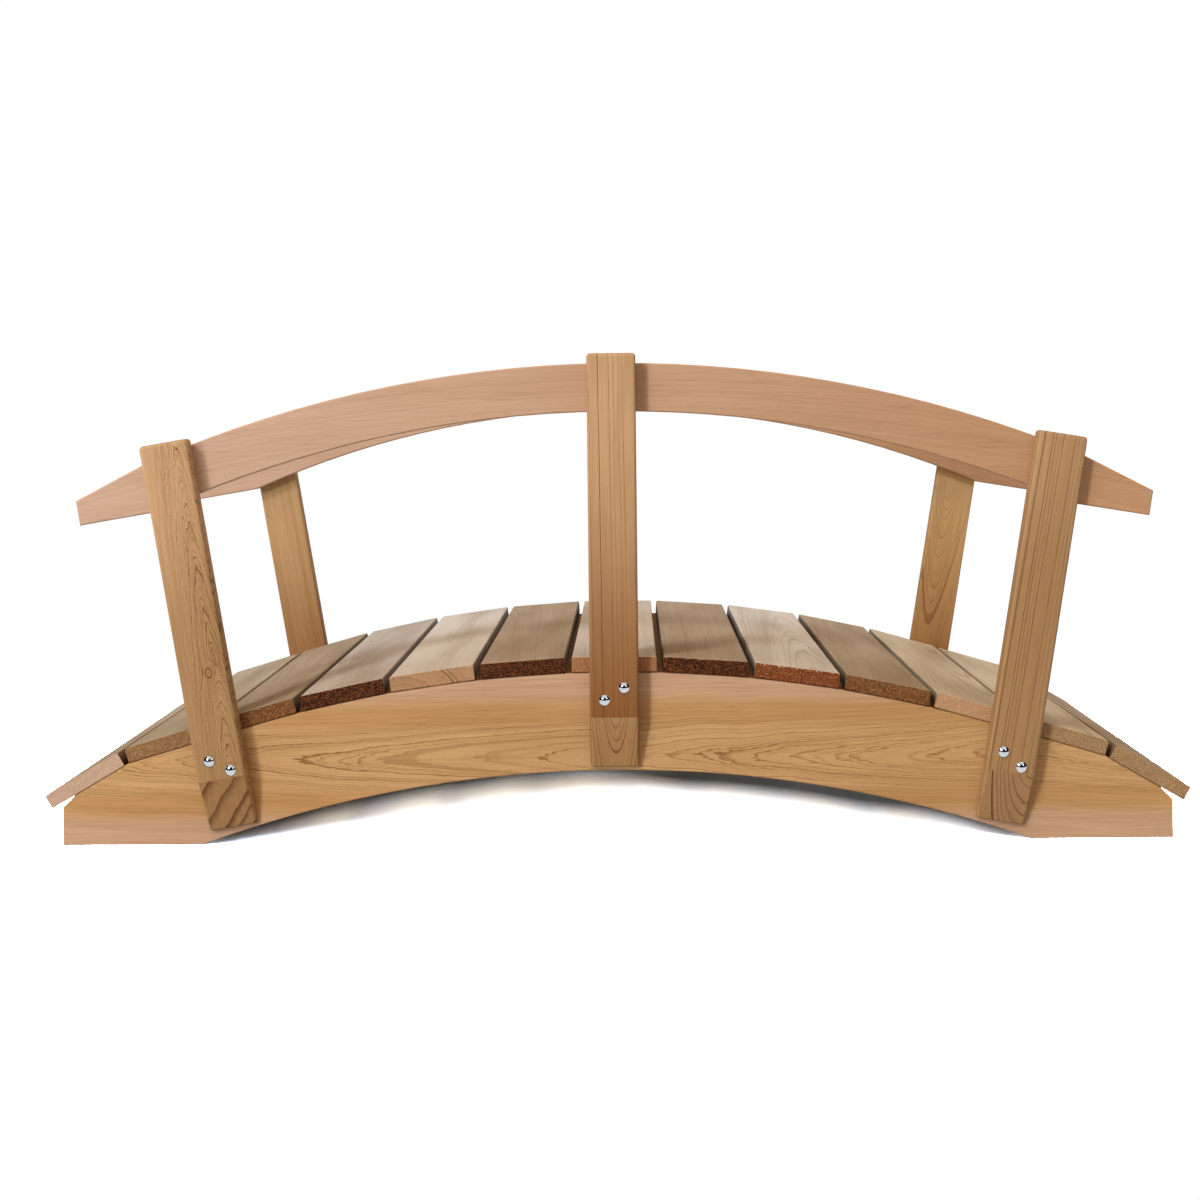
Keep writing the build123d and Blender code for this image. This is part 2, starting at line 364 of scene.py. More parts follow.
def group_on(tree, group, values):
    """A group node with its inputs fed; returns its outputs."""
    return add(tree, "ShaderNodeGroup", values, node_tree=group).outputs


print("honey under the common stain:", [round(part, 3) for part in times(TONES["honey"], STAIN)])

# %% [markdown]
# A face takes late wood over early wood, a tone for each year, warmer or cooler wood away from the heart,
# then clouds, streaks, dashes and flecks, and last the knot.


# %% Faces
def late_wood(tree, place, look, grown, bevel):
    """How far late wood shows: less away from the heart, and with a figure of its own on a bevel."""
    near, far = metres(*look["calm"][:2])
    contrast = look["contrast"]
    shown = ramp(grown["Radius"], near, far, contrast, contrast * look["calm"][2])
    late_share = product(grown["Late"], shown)
    if look["bevel_log"]:
        figure = group_on(tree, rings, log_values(place, look | look["bevel_log"]))["Late"]
        change = product(less(figure, late_share), bevel)
        late_share = total(late_share, change)
    return late_share


YEAR_SHARE, YEAR_TINT, KNOT_TINT = 0.3, (0.84, 0.78, 0.70), (0.40, 0.28, 0.20)
FIBRE_TINTS = {"Streak": (0.62, 0.53, 0.45), "Dash": (0.48, 0.38, 0.30), "Fleck": (0.45, 0.34, 0.26)}


def face_colour(look, late_share, grown, fibre):
    """The colour of a board's faces, from its rings and fibres."""
    early = TONES[look["early"]]
    colour = tint(late_share, times(early), times(early, look["late_tint"]))
    colour = stained_or_shaded(product(grown["Tone"], YEAR_SHARE), colour, YEAR_TINT)
    colour = stained_or_shaded(ramp(grown["Radius"], *metres(*look["heart"])), colour, look["heart_tint"])
    if look["band"]:
        rise, fall = look["band"]
        banded = between(grown["Radius"], metres(*rise), metres(*fall))
        colour = stained_or_shaded(banded, colour, look["band_tint"])
    for label, stain in ({"Cloud": look["stain"]} | FIBRE_TINTS).items():
        colour = stained_or_shaded(product(fibre[label], look[label.lower()]), colour, stain)
    return tint(grown["Knot"], colour, times(early, KNOT_TINT))


print("coats of fibre on a face:", 1 + len(FIBRE_TINTS))

# %% [markdown]
# Boards aren't the same all over. A post is darker towards the deck, partly in the wood and partly as painted
# shade, its bevel gets painted shading for the other light it catches, and the long edges in the gaps between
# planks get painted shade, the more the lower. On a plank's sawn end the saw has torn pale fibres out along
# the upper arris, and a dark line marks the joint with the stringer below.

# %% Feet, edges and sawn ends
PLANK_HALF, EDGE_LOW_SHARE = 12.5 * MM, 0.7
FRAY_BELOW, FRAY_ABOVE, JOINT_LINE = 0.2 * MM, 0.5 * MM, 2.5 * MM
FRAYED, JOINT_TINT = (0.44, 0.28, 0.16), (0.30, 0.24, 0.19)


def marked(look, colour, cut, length, depth):
    """The colour with the darker foot, partly painted shade, the bevel's painted shading and painted edge
    shade.
    """
    # Darker towards the foot: partly the wood's own colour, partly painted shade.
    colour = stained_or_shaded(fade(length, *metres(*look["foot"])), colour, look["foot_tint"])
    # Painted shading on the bevel, for the other light it catches.
    colour = stained_or_shaded(cut["Bevel"], colour, look["bevel_shading"])
    # Painted shade on the long edges in the gaps, the stronger the lower.
    if look["edge_shade"]:
        gap_shade = ramp(depth, -EDGE_LOW_SHARE * PLANK_HALF, PLANK_HALF, 1.0, look["edge_shade_top"])
        colour = stained_or_shaded(product(cut["Edge"], gap_shade), colour, look["edge_shade"])
    return colour


def arris_marks(colour, fray, tear, depth):
    """A plank end's colour with torn fibres along its upper arris and a joint along its lower one."""
    torn = total(product(tear, fray * MM), depth)
    shown = ramp(torn, PLANK_HALF - FRAY_BELOW, PLANK_HALF + FRAY_ABOVE)
    colour = tint(shown, colour, times(FRAYED))
    joint = fade(depth, -PLANK_HALF, JOINT_LINE - PLANK_HALF)
    return stained_or_shaded(joint, colour, JOINT_TINT)


print("planks are", 2 * PLANK_HALF / MM, "mm thick")

# %% [markdown]
# The recipe puts this together in one material for each board. Late wood stands a little proud and pores lie
# deeper, so a slight bump goes with the colour, and streaks are a touch duller than the wood around them.

# %% The cedar recipe
LATE_RISE, STREAK_DROP, END_DROP = 0.4, 0.5, 1.5
BUMP_STRENGTH, BUMP_DEPTH = 0.35, 0.25 * MM
ROUGH_LESS, ROUGH_MORE = 0.06, 0.08


def grain_relief(grown, fibre, torn_end):
    """The normal of a planed face with open pores."""
    relief = less(product(grown["Late"], LATE_RISE), fibre["Dash"])
    for hollow, drop in ((fibre["Streak"], STREAK_DROP), (torn_end, END_DROP)):
        relief = less(relief, product(hollow, drop))
    sockets = {"Height": relief, "Strength": BUMP_STRENGTH, "Distance": BUMP_DEPTH}
    return result("ShaderNodeBump", sockets)


def new_material(name):
    """A material with nodes; returns it and its shader."""
    material = bpy.data.materials.new(name)
    material.use_nodes = True
    return material, material.node_tree.nodes["Principled BSDF"]


def cedar(name, centre, axes, **chosen):
    """A cedar material for one board, from the plain look and what is chosen for the board."""
    look = PLAIN_LOOK | chosen
    material, shader = new_material("cedar_" + name)
    tree = material.node_tree
    turn = Matrix(axes).transposed().to_euler("XYZ")
    coords = add(tree, "ShaderNodeTexCoord").outputs["Object"]
    sockets = {"Vector": coords, "Location": centre, "Rotation": turn}
    place = result("ShaderNodeMapping", sockets, vector_type="TEXTURE")
    parts = add(tree, "ShaderNodeSeparateXYZ", {0: place}).outputs
    length, depth = parts["X"], parts["Z"]
    grown = group_on(tree, rings, log_values(place, look))
    fibre = group_on(tree, fibres, {"Place": place, "Seed": look["seed"]})
    cut = group_on(tree, ends, {"Grain": axes[0], "Width": axes[1]})

    late_share = late_wood(tree, place, look, grown, cut["Bevel"])
    colour = face_colour(look, late_share, grown, fibre)
    colour = marked(look, colour, cut, length, depth)
    sawn, pore, pore_share = SAWN_TONES[look["end"]]
    pores = sums("MAXIMUM", product(fibre["Speckle"], pore_share), grown["Late"])
    end_colour = tint(pores, times(sawn), times(pore))
    if look["fray"]:
        end_colour = arris_marks(end_colour, look["fray"], fibre["Tear"], depth)
    feed(shader.inputs["Base Color"], tint(cut["End"], colour, end_colour))

    dull = ramp(fibre["Streak"], 0.0, 1.0, look["rough"] - ROUGH_LESS, look["rough"] + ROUGH_MORE)
    feed(shader.inputs["Roughness"], dull)
    torn_end = product(cut["End"], pores)
    feed(shader.inputs["Normal"], grain_relief(grown, fibre, torn_end))
    shader.inputs["Specular IOR Level"].default_value = look["gloss"]
    return material


print("bump of the grain in mm:", BUMP_DEPTH / MM)

# %% [markdown]
# ## Where each board lies
# To read a board's figure in its own place, the recipe needs the board's middle and its three directions. The
# middle is the middle of its box. The directions follow from one broad flat face, found in the frame's mesh,
# so that a leaning post and a tilted plank need no angles typed in.

# %% Board places
LENGTHWISE, CROSSWISE, UPWARD = Vector((1, 0, 0)), Vector((0, 1, 0)), Vector((0, 0, 1))
LONG_AXES = (LENGTHWISE, UPWARD, -CROSSWISE)
MOSTLY = 0.7


def middle(name):
    """Middle of the board's box."""
    low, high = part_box(name)
    return (low + high) / 2


def broad_face(name, toward):
    """Normal of the board's largest face that looks mostly the given way."""
    facing_faces = [face for face in boards[name].data.polygons if face.normal.dot(toward) > MOSTLY]
    return max(facing_faces, key=lambda face: face.area).normal.copy()


def post_axes(name):
    """Grain up the post, then across its face, then through it."""
    side = broad_face(name, LENGTHWISE)
    return (side.cross(CROSSWISE), side, CROSSWISE)


def plank_axes(name):
    """Grain along the plank, then across it, then up through it."""
    top = broad_face(name, UPWARD)
    return (CROSSWISE, top.cross(CROSSWISE), top)


def dress(name, material):
    """Give the board's own object its material."""
    slots = boards[name].data.materials
    slots.clear()
    slots.append(material)


right_grain = post_axes("near_right_post")[0]
print("right post leans", round(math.degrees(math.atan2(right_grain.x, right_grain.z)), 2), "degrees")

# %% [markdown]
# ## Stringers and rails
# Each stringer is one wide flat-sawn board: a row of flames runs along it at a third of its height. Around
# the flames lies a slightly darker, golden band, and towards the top the rings turn to fine straight lines in
# a pinker wood. The grain is straight though the board is cut to an arch. The rails are plainer, rose-red
# boards with fine lines that follow the arch a little, and they are paler towards their left ends.

# %% Dress stringers and rails
FLAME_HEIGHT, FLAME_DEPTH = 140.0, 52.0
# The stringers' edge tint is painted shade on their top and bottom faces.
STRINGER_LOOK = dict(
    early="honey", ring=2.0, taper=-0.052, wander=24.0, waver=3.6, jag=0.7, late_from=0.35, contrast=0.85,
    calm=(50.0, 85.0, 0.16), band=((54.0, 68.0), (85.0, 105.0)), band_tint=(0.90, 0.84, 0.77),
    heart=(85.0, 115.0), heart_tint=(1.00, 1.05, 1.48), edge_shade=(0.40, 0.33, 0.27), fleck=0.2)
RAIL_LOOK = dict(
    early="rose", pith=(260.0, 120.0), ring=2.6, taper=0.004, bow=0.16, waver=1.5, contrast=0.24, cloud=0.2,
    streak=0.13, dash=0.2, fleck=0.22, foot=(-900.0, 800.0), foot_tint=(1.19, 1.40, 1.88))
for name, seed, mirror in (("near_stringer", 3.1, 1), ("far_stringer", 8.6, -1)):
    centre = middle(name)
    pith = (FLAME_HEIGHT - centre.z / MM, FLAME_DEPTH * mirror)
    dress(name, cedar(name, centre, LONG_AXES, pith=pith, seed=seed, **STRINGER_LOOK))
for name, seed in (("near_rail", 5.3), ("far_rail", 11.9)):
    dress(name, cedar(name, middle(name), LONG_AXES, seed=seed, **RAIL_LOOK))
print("materials after stringers and rails:", len(bpy.data.materials))

# %% [markdown]
# ## Posts
# The six posts were cut from six places in the log. The near left one shows arches and a small knot, the
# middle one and the near right one straight dark lines, and the far right one a row of nested curves. All of
# them go darker towards the deck, partly in the wood and partly as painted shade. The bevel at a post's foot
# cuts the rings at a slant, so on the near posts it has a figure of its own, and it takes painted shading.

# %% Dress posts
DARK_LINE = (0.34, 0.22, 0.13)
# The bevel's tint is painted shading for the light that the bevel catches.
SHARED_POST_LOOK = dict(foot_tint=(0.50, 0.34, 0.21), bevel_shading=(1.20, 1.50, 1.85), end="tan")
POST_LOOKS = {
    "near_left_post": dict(
        early="tan", pith=(20.0, -3.0), ring=2.0, taper=0.11, wander=9.0, waver=2.6, jag=1.6, late_from=0.30,
        even=0.45, contrast=1.0, late_tint=(0.36, 0.25, 0.16), calm=(30.0, 50.0, 0.10),
        knot=(-62.0, 9.0, 6.0), seed=2.4, foot=(-40.0, 260.0), foot_tint=(0.785, 0.735, 0.63),
        bevel_shading=(0.80, 0.73, 0.655),
        bevel_log=dict(pith=(70.0, -3.0), ring=36.0, taper=0.85, wander=0.0, waver=26.0, jag=0.2,
                       late_from=0.25, even=0.8)),
    "near_middle_post": dict(
        early="tan", pith=(-120.0, -100.0), ring=9.5, taper=0.006, waver=2.0, late_from=0.80, even=0.45,
        contrast=1.0, late_tint=DARK_LINE, seed=6.2, foot_tint=(0.455, 0.275, 0.115),
        bevel_shading=(1.54, 2.20, 3.80), bevel_log=dict(pith=(2.0, -22.0), ring=5.5, late_from=0.75)),
    "near_right_post": dict(
        early="amber", pith=(130.0, -110.0), ring=7.0, taper=0.008, waver=2.5, late_from=0.66, even=0.40,
        contrast=1.0, late_tint=DARK_LINE, seed=4.7, foot=(60.0, 300.0), foot_tint=(0.83, 0.785, 0.71),
        bevel_shading=(0.95, 0.95, 0.93), bevel_log=dict(pith=(34.0, -60.0), ring=4.2, late_from=0.62)),
    "far_left_post": dict(
        early="corn", pith=(-160.0, 50.0), ring=3.4, taper=0.012, waver=2.5, contrast=0.4, seed=9.5),
    "far_middle_post": dict(
        early="tan", pith=(30.0, -60.0), ring=3.0, taper=0.07, waver=3.0, contrast=0.7, seed=12.8),
    "far_right_post": dict(
        early="straw", pith=(-12.0, 12.5), ring=2.4, taper=-0.12, waver=2.2, late_from=0.62, contrast=0.6,
        calm=(40.0, 50.0, 0.25), seed=7.7),
}
for name, look in POST_LOOKS.items():
    dress(name, cedar(name, middle(name), post_axes(name), **(SHARED_POST_LOOK | look)))
print("materials after posts:", len(bpy.data.materials))

# %% [markdown]
# ## Planks
# The deck planks are sawn, not planed: greyer on top, each with its own tone, and cut ends from pale gold to
# a dark speckled umber. A fixed seed draws how each plank lay in its log. The tones are listed, and so are
# the planks with a stronger or weaker figure and those whose ends are badly torn.

# %% Dress planks
PLANK_TONES = ("drift", "sand", "bark", "ash", "silver", "drift", "silver", "drift", "pearl", "drift",
               "wheat", "wheat", "drift")
END_TONES = ("pale", "tan", "brown", "umber", "gold", "umber", "toast", "umber", "russet", "brown",
             "cream", "olive", "olive")
# The planks' edge tint is painted shade on their long edges in the gaps.
PLANK_LOOK = dict(
    cloud=0.50, stain=(0.62, 0.55, 0.48), streak=0.14, dash=0.16, foot_tint=(0.91, 0.82, 0.72),
    edge_shade=(0.20, 0.145, 0.10), edge_shade_top=0.45, rough=0.62, gloss=0.15)
COMMON_FRAY, FRAYS = 0.6, {3: 1.2, 8: 1.5, 9: 3.5, 10: 1.2}
COMMON_FIGURE, FIGURED = 0.22, {2: 0.34, 5: 0.12, 9: 0.60, 11: 0.45}
PITH_ACROSS, PITH_DEPTHS, RING_WIDTHS, MOST_TAPER, SEED_STEP = 90.0, (50.0, 110.0), (3.0, 5.0), 0.08, 3.7
draw = random.Random(17)
for number, (early, end) in enumerate(zip(PLANK_TONES, END_TONES), start=1):
    name = "plank_%02d" % number
    pith = (draw.uniform(-PITH_ACROSS, PITH_ACROSS), draw.choice((-1, 1)) * draw.uniform(*PITH_DEPTHS))
    log = dict(pith=pith, ring=draw.uniform(*RING_WIDTHS), taper=draw.uniform(-MOST_TAPER, MOST_TAPER),
               seed=number * SEED_STEP)
    own_look = dict(early=early, end=end, contrast=FIGURED.get(number, COMMON_FIGURE),
                    fray=FRAYS.get(number, COMMON_FRAY))
    dress(name, cedar(name, middle(name), plank_axes(name), **log, **own_look, **PLANK_LOOK))
print("materials after planks:", len(bpy.data.materials))

# %% [markdown]
# ## Soft shading on the boards
# The frame's boards are loose triangles, which shade as flat facets on round arrises and long arcs. A tiny
# geometry tree joins the triangles and shades every edge smooth unless it is a real corner. The tree sits on
# the boards as a modifier, so the frame's own meshes stay as they are.


# %% The shading tree
def softly_shaded(mesh, corner):
    """A mesh shaded smooth, but crisp at each edge that turns by more than the corner angle."""
    smooth = result("GeometryNodeSetShadeSmooth", {"Geometry": mesh, "Shade Smooth": True}, domain="FACE")
    angle = add(mesh.id_data, "GeometryNodeInputMeshEdgeAngle").outputs["Unsigned Angle"]
    crisp = sums("GREATER_THAN", angle, corner)
    sockets = {"Geometry": smooth, "Selection": crisp, "Shade Smooth": False}
    return result("GeometryNodeSetShadeSmooth", sockets, domain="EDGE")


def inputs_of(tree):
    """Identifiers of a tree's inputs by name."""
    return {item.name: item.identifier for item in tree.interface.items_tree if item.in_out == "INPUT"}


JOIN_DISTANCE, BOARD_CORNER = 0.01 * MM, math.radians(28.0)
soften, inside, out = group_tree("soft_arrises", "GeometryNodeTree",
                                 {"Geometry": "Geometry", "Join Distance": "Float", "Corner": "Float"},
                                 {"Geometry": "Geometry"})
loose, join_distance, corner = (inside.outputs[label] for label in ("Geometry", "Join Distance", "Corner"))
joined = result("GeometryNodeMergeByDistance", {"Geometry": loose, "Distance": join_distance})
bare = result("GeometryNodeRemoveAttribute", {"Geometry": joined, "Name": "custom_normal"})
feed(out.inputs["Geometry"], softly_shaded(bare, corner))
for board in boards.values():
    softener = board.modifiers.new("soft_arrises", "NODES")
    softener[inputs_of(soften)["Join Distance"]] = JOIN_DISTANCE
    softener[inputs_of(soften)["Corner"]] = BOARD_CORNER
    softener.node_group = soften
print("boards with soft shading:", len(boards))

# %% [markdown]
# ## Zinc
# The bolts are bright zinc plate: a metal that mirrors the room softly, with a faint blue cast and fine
# mottling. Noise moves both the colour and the roughness, because on plate they change together.

# %% The zinc recipe
DIM_ZINC, BRIGHT_ZINC = (0.52, 0.56, 0.61, 1.0), (0.72, 0.75, 0.79, 1.0)
MOTTLE_LOOK, MOTTLE_SHOWN, ZINC_ROUGH = {"Scale": 900.0, "Detail": 3.0}, (0.3, 0.7), (0.05, 0.12)


def zinc_plate(name):
    """Bright zinc with slight mottling."""
    material, shader = new_material(name)
    coords = add(material.node_tree, "ShaderNodeTexCoord").outputs["Object"]
    mottle = noise("3D", {"Vector": coords} | MOTTLE_LOOK)
    feed(shader.inputs["Base Color"], tint(mottle, DIM_ZINC, BRIGHT_ZINC))
    feed(shader.inputs["Roughness"], ramp(mottle, *MOTTLE_SHOWN, *ZINC_ROUGH))
    shader.inputs["Metallic"].default_value = 1.0
    return material


zinc = zinc_plate("bright_zinc")
print("zinc has", len(zinc.node_tree.nodes), "nodes")

# %% [markdown]
# ## Carriage bolts
# Two carriage bolts go through each post into its stringer, on a diagonal: a smooth domed head outside, a
# washer and a nut inside. Twelve alike bolts are work for Geometry Nodes: one bolt is made of primitives with
# named sizes, then placed on twelve points, each turned to face out of its post. First come the points.

# %% Bolt places
PAIR_ACROSS, PAIR_ALONG = 32.0 * MM, 20.0 * MM
BOLT_RISE = {"left": 107.0 * MM, "middle": 123.0 * MM, "right": 107.0 * MM}
POST_NAMES = [side + "_" + place + "_post" for side in ("near", "far") for place in BOLT_RISE]


def post_length(name):
    """The post's length along its grain."""
    grain = post_axes(name)[0]
    spans = [vertex.co.dot(grain) for vertex in boards[name].data.vertices]
    return max(spans) - min(spans)


def outward(name):
    """Which way the post's outer face looks."""
    return -CROSSWISE if name.startswith("near") else CROSSWISE


def side_y(name, way):
    """Where the board's side lies that looks the given way across the bridge."""
    low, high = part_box(name)
    return low.y if way.y < 0 else high.y


def on_post(name, up, aside, y):
    """A point so far up the post from its lower end and so far aside of its middle line, at the given y."""
    grain, side = post_axes(name)[:2]
    low_end = middle(name) - grain * post_length(name) / 2
    spot = low_end + grain * up + side * aside
    return Vector((spot.x, y, spot.z))


bolt_places = []
for name in POST_NAMES:
    place = name.split("_")[1]
    hand = -1 if place == "middle" else 1
    for way in (-1, 1):
        up = BOLT_RISE[place] - way * hand * PAIR_ALONG / 2
        spot = on_post(name, up, way * PAIR_ACROSS / 2, side_y(name, outward(name)))
        bolt_places.append((spot, outward(name)))
grip = side_y("near_stringer", CROSSWISE) - side_y("near_middle_post", -CROSSWISE)
print("bolts:", len(bolt_places), "grip in metres:", round(grip, 4))

# %% [markdown]
# The bolt tree builds each part from a primitive drum whose vertices are moved by a formula. These helpers
# make a drum, move it or some of its vertices, and raise the top of a flat one to a dome.


# %% Drums and domes
def half_of(value):
    """Half of a value."""
    return product(value, 0.5)


def axial(height):
    """A vector along the drum's axis."""
    return result("ShaderNodeCombineXYZ", {2: height})


def shaped(mesh, selection, offset):
    """Move the selected vertices of a mesh by an offset."""
    sockets = {"Geometry": mesh, "Selection": selection, "Offset": offset}
    return result("GeometryNodeSetPosition", sockets)


def moved(mesh, height):
    """Lift a mesh along its axis."""
    sockets = {"Geometry": mesh, "Translation": axial(height)}
    return result("GeometryNodeTransform", sockets)


def drum(sides, rows, circles, half_width, depth):
    """A closed drum of triangles with rows along its side and circles on its ends."""
    sockets = {"Vertices": sides, "Side Segments": rows, "Fill Segments": circles, "Radius": half_width,
               "Depth": depth}
    return result("GeometryNodeMeshCylinder", sockets, fill_type="TRIANGLE_FAN")


def from_axis(tree):
    """Position of each vertex, its parts, and its distance from the drum's axis."""
    spot = add(tree, "GeometryNodeInputPosition").outputs[0]
    x, y, z = add(tree, "ShaderNodeSeparateXYZ", {0: spot}).outputs
    return {"spot": spot, "x": x, "y": y, "z": z, "gap": apart(x, y)}


def domed(tree, size, sides, circles):
    """A head on the ground: a flat drum whose top is raised to a dome."""
    half_width, half_rim = half_of(size["Head Width"]), half_of(size["Head Rim"])
    disc = moved(drum(sides, 1, circles, half_width, size["Head Rim"]), half_rim)
    at = from_axis(tree)
    out_share = sums("DIVIDE", at["gap"], half_width)
    fall = less(1.0, product(out_share, out_share))
    lift = product(fall, size["Head Rise"])
    return shaped(disc, sums("GREATER_THAN", at["z"], half_rim), axial(lift))


print("bolts to make from drums:", len(bolt_places))

# %% [markdown]
# A fastener is put on every point at once. Each copy is turned by chance about its own axis, as bolts are
# when they have been driven, and then its axis is aligned with the way that its point faces.

# %% Copies on points
METAL_CORNER, RANDOM_MOST = math.radians(40.0), 3


def placed_on_points(tree, points, pieces, material, seed):
    """Join the pieces, put them on the points, turned to face out, and make them one mesh."""
    whole = add(tree, "GeometryNodeJoinGeometry")
    for piece in pieces:
        tree.links.new(piece, whole.inputs[0])
    spin = add(tree, "FunctionNodeRandomValue", {RANDOM_MOST: math.tau, "Seed": seed}, data_type="FLOAT")
    start = result("FunctionNodeEulerToRotation", {0: axial(spin.outputs[1])})
    way = add(tree, "GeometryNodeInputNamedAttribute", {"Name": "facing"}, data_type="FLOAT_VECTOR")
    sockets = {"Rotation": start, "Vector": way.outputs[0]}
    aim = result("FunctionNodeAlignRotationToVector", sockets, axis="Z")
    sockets = {"Points": points, "Instance": whole.outputs[0], "Rotation": aim}
    copies = result("GeometryNodeInstanceOnPoints", sockets)
    solid = result("GeometryNodeRealizeInstances", {0: copies})
    coated = result("GeometryNodeSetMaterial", {"Geometry": solid, "Material": material})
    return softly_shaded(coated, METAL_CORNER)


def mesh_object(name, points, faces):
    """An object in the scene, made of these points and faces."""
    mesh = bpy.data.meshes.new(name)
    mesh.from_pydata(points, [], faces)
    made = bpy.data.objects.new(name, mesh)
    scene.collection.objects.link(made)
    return made


def point_cloud(name, places):
    """An object of loose points, each with the way its fastener faces."""
    made = mesh_object(name, [spot for spot, way in places], [])
    facing_values = made.data.attributes.new("facing", "FLOAT_VECTOR", "POINT")
    for item, (spot, way) in zip(facing_values.data, places):
        item.vector = way
    return made


def fastener_tree(name, sizes):
    """A tree that takes points, zinc and the fastener's sizes; returns it, its inputs and its output."""
    inputs = {"Points": "Geometry", "Zinc": "Material"} | dict.fromkeys(sizes, "Float")
    tree, inside, out = group_tree(name, "GeometryNodeTree", inputs, {"Fasteners": "Geometry"})
    return tree, inside.outputs, out.inputs["Fasteners"]


bolts = point_cloud("carriage_bolts", bolt_places)
print("loose points for bolts:", len(bolts.data.vertices))

# %% [markdown]
# The bolt starts with its domed head, which stands on the post, and a plain shank that reaches through post,
# stringer, washer and nut.

# %% Bolt tree: head and shank
BOLT_SIZES = {"Head Width": 18.0 * MM, "Head Rise": 5.0 * MM, "Head Rim": 0.7 * MM, "Shank": 8.0 * MM,
              "Grip": grip, "Washer Width": 20.0 * MM, "Washer Thick": 1.6 * MM, "Nut Flats": 13.0 * MM,
              "Nut Height": 6.5 * MM, "Thread Past": 4.0 * MM, "Thread Pitch": 1.25 * MM}
ROUND_SIDES, HEAD_CIRCLES, SHANK_SIDES = 40, 8, 24
bolt_tree, size, bolts_out = fastener_tree("carriage_bolts", BOLT_SIZES)
head = domed(bolt_tree, size, ROUND_SIDES, HEAD_CIRCLES)

seat = product(size["Grip"], -1.0)
half_shank = half_of(size["Shank"])
stack = total(size["Washer Thick"], size["Nut Height"])
shank_length = total(size["Grip"], stack)
shank = drum(SHANK_SIDES, 1, 1, half_shank, shank_length)
shank = moved(shank, product(shank_length, -0.5))
print("bolt tree with head and shank:", len(bolt_tree.nodes), "nodes")

# %% [markdown]
# Washer and nut lie against the stringer's inner face. The washer is stamped, so its rim is a little thinner,
# and the nut's corners are drawn in at both ends.

# %% Bolt tree: washer and nut
WASHER_FLAT_SHARE, RIM_DROP_SHARE, FLAT_CIRCLES = 0.9, -0.5, 2
at = from_axis(bolt_tree)
half_washer = half_of(size["Washer Width"])
washer = drum(ROUND_SIDES, 1, FLAT_CIRCLES, half_washer, size["Washer Thick"])
washer_flat = product(half_washer, WASHER_FLAT_SHARE)
rim_drop = axial(product(at["z"], RIM_DROP_SHARE))
washer = shaped(washer, sums("GREATER_THAN", at["gap"], washer_flat), rim_drop)
washer = moved(washer, less(seat, half_of(size["Washer Thick"])))

NUT_SIDES, NUT_ROWS, NUT_FLAT_SHARE, NUT_DRAW_SHARES = 6, 6, 0.45, (-0.09, -0.09, 0.0)
half_nut = sums("DIVIDE", size["Nut Flats"], math.sqrt(3.0))
nut = drum(NUT_SIDES, NUT_ROWS, FLAT_CIRCLES, half_nut, size["Nut Height"])
nut_flat = product(size["Nut Height"], NUT_FLAT_SHARE)
nut_end = sums("GREATER_THAN", sums("ABSOLUTE", at["z"]), nut_flat)
nut = shaped(nut, nut_end, stretched(at["spot"], NUT_DRAW_SHARES))
nut_level = total(size["Washer Thick"], half_of(size["Nut Height"]))
nut = moved(nut, less(seat, nut_level))
print("bolt tree with washer and nut:", len(bolt_tree.nodes), "nodes")

# %% [markdown]
# The thread that shows past the nut is a drum with a wave that climbs round it. Cutting a helix would take
# far more faces and look the same at this size.

# %% Bolt tree: thread
RIDGE_SHARE, ROOT_SHARE, THREAD_ROWS = 0.07, 0.08, 26
thread = drum(SHANK_SIDES, THREAD_ROWS, 1, half_shank, size["Thread Past"])
around = sums("ARCTAN2", at["y"], at["x"])
climb = product(sums("DIVIDE", at["z"], size["Thread Pitch"]), math.tau)
ridge = sums("SINE", total(climb, around))
ridge = less(product(ridge, RIDGE_SHARE), ROOT_SHARE)
wave = result("ShaderNodeVectorMath", {0: at["spot"], "Scale": ridge}, operation="SCALE")
thread_side = sums("GREATER_THAN", at["gap"], half_of(half_shank))
thread = shaped(thread, thread_side, stretched(wave, (1.0, 1.0, 0.0)))
thread_level = total(stack, half_of(size["Thread Past"]))
thread = moved(thread, less(seat, thread_level))

BOLT_SPIN_SEED = 5
bolt_pieces = (head, shank, washer, nut, thread)
bolts_made = placed_on_points(bolt_tree, size["Points"], bolt_pieces, size["Zinc"], BOLT_SPIN_SEED)
feed(bolts_out, bolts_made)
print("whole bolt tree:", len(bolt_tree.nodes), "nodes")

# %% [markdown]
# The finished bolts are kept as a plain mesh. They are fixed to the bridge, so they ride on its only body.


# %% Make the bolts
def made_plain(piece, tree, sizes, material):
    """Run the tree on the piece, keep the result as a plain mesh and drop the modifier."""
    modifier = piece.modifiers.new(tree.name, "NODES")
    modifier.node_group = tree
    names = inputs_of(tree)
    for label, value in sizes.items():
        modifier[names[label]] = value
    modifier[names["Zinc"]] = material
    evaluated = piece.evaluated_get(bpy.context.evaluated_depsgraph_get())
    mesh = bpy.data.meshes.new_from_object(evaluated)
    piece.modifiers.remove(modifier)
    mesh.name = piece.name
    piece.data = mesh
    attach(piece, "root")
    print(piece.name, "has", len(mesh.polygons), "faces")


made_plain(bolts, bolt_tree, BOLT_SIZES, zinc)

# %% [markdown]
# ## Rail screws
# Nothing shows on the posts' faces at the rails, so the rails are held from inside, with two pan-head screws
# at each post. The cross in the head is pressed in by moving the vertices near its two lines.

